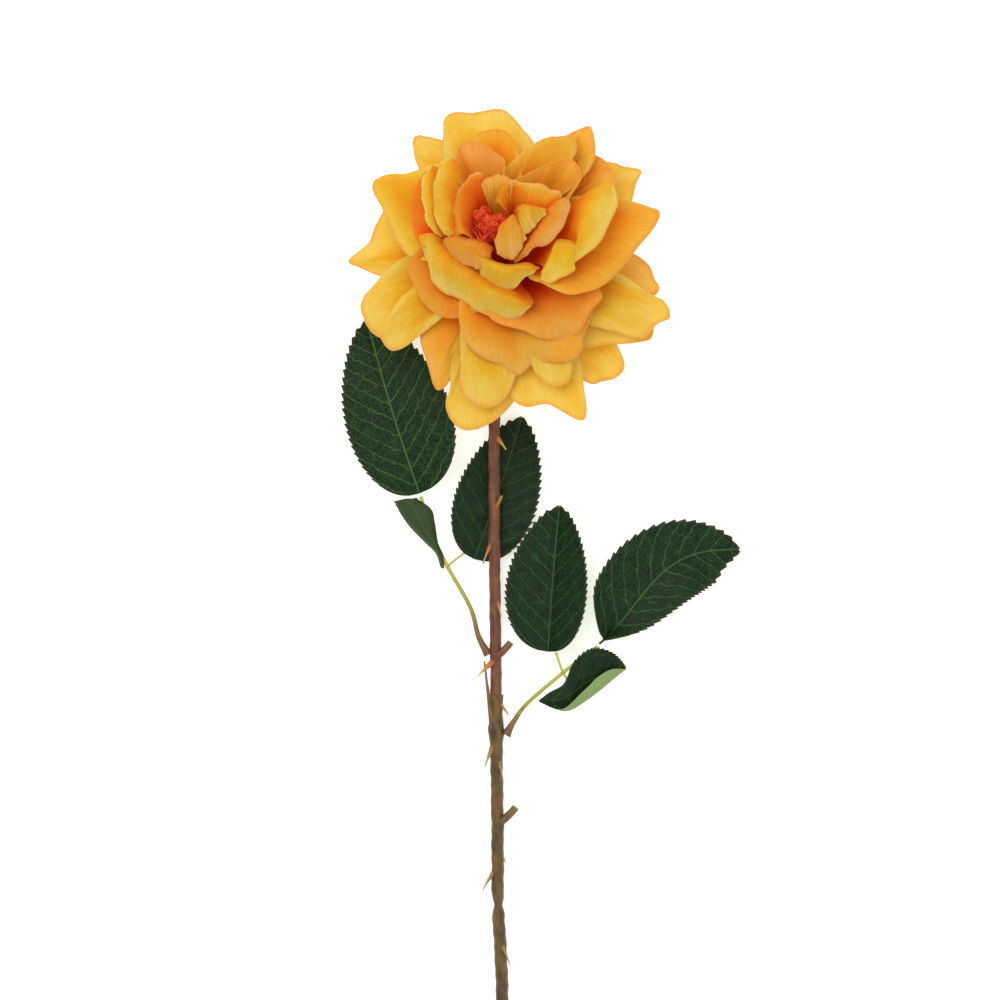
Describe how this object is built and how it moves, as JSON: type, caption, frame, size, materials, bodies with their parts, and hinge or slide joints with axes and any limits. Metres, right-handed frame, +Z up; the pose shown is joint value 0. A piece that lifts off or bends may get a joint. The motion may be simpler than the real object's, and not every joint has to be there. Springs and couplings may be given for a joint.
{
  "type": "cut rose stem with open bloom",
  "caption": "Cut rose lying flat: an open many-petalled orange-yellow bloom on a thorny stem with two leaf sprigs.",
  "frame": {"origin": "middle of the rose's box, level with the surface that it lies on", "axes": "+Y from the stem's cut end towards the bloom, +Z up from the surface, +X to the right seen from above with the bloom at the top"},
  "size_m": [0.1464, 0.3998, 0.0788],
  "materials": {
    "petals": "fine silky weave, orange at the foot and yellow at the rim",
    "heart": "crumpled crimson fabric",
    "leaves": "dark green fabric with light green veins and pale underside",
    "calyx": "matt green moulding",
    "leaf_stalks": "satin yellow-green moulding",
    "upper_stem": "satin reddish brown with a green side",
    "lower_stem": "satin olive brown with dark purple patches"
  },
  "bodies": {
    "root": {"heart": "heart", "hip": "calyx", "inner_petal_01": "petals", "inner_petal_02": "petals", "inner_petal_03": "petals", "inner_petal_04": "petals", "inner_petal_05": "petals", "inner_petal_06": "petals", "inner_petal_07": "petals", "inner_petal_08": "petals", "inner_petal_09": "petals", "inner_petal_10": "petals", "inner_petal_11": "petals", "inner_petal_12": "petals", "inner_petal_13": "petals", "left_leaf_lower": "leaves", "left_leaf_stalk": "leaf_stalks", "left_leaf_tip": "leaves", "left_leaf_upper": "leaves", "lower_stem": "lower_stem", "middle_petal_01": "petals", "middle_petal_02": "petals", "middle_petal_03": "petals", "middle_petal_04": "petals", "middle_petal_05": "petals", "middle_petal_06": "petals", "middle_petal_07": "petals", "middle_petal_08": "petals", "middle_petal_09": "petals", "outer_petal_01": "petals", "outer_petal_02": "petals", "outer_petal_03": "petals", "outer_petal_04": "petals", "outer_petal_05": "petals", "outer_petal_06": "petals", "outer_petal_07": "petals", "outer_petal_08": "petals", "outer_petal_09": "petals", "outer_petal_10": "petals", "outer_petal_11": "petals", "outer_petal_12": "petals", "outer_petal_13": "petals", "outer_petal_14": "petals", "outer_petal_15": "petals", "outer_petal_16": "petals", "outer_petal_17": "petals", "right_leaf_lower": "leaves", "right_leaf_stalk": "leaf_stalks", "right_leaf_tip": "leaves", "right_leaf_upper": "leaves", "sepal_1": "calyx", "sepal_2": "calyx", "sepal_3": "calyx", "sepal_4": "calyx", "sepal_5": "calyx", "upper_stem": "upper_stem"}
  },
  "joints": []
}
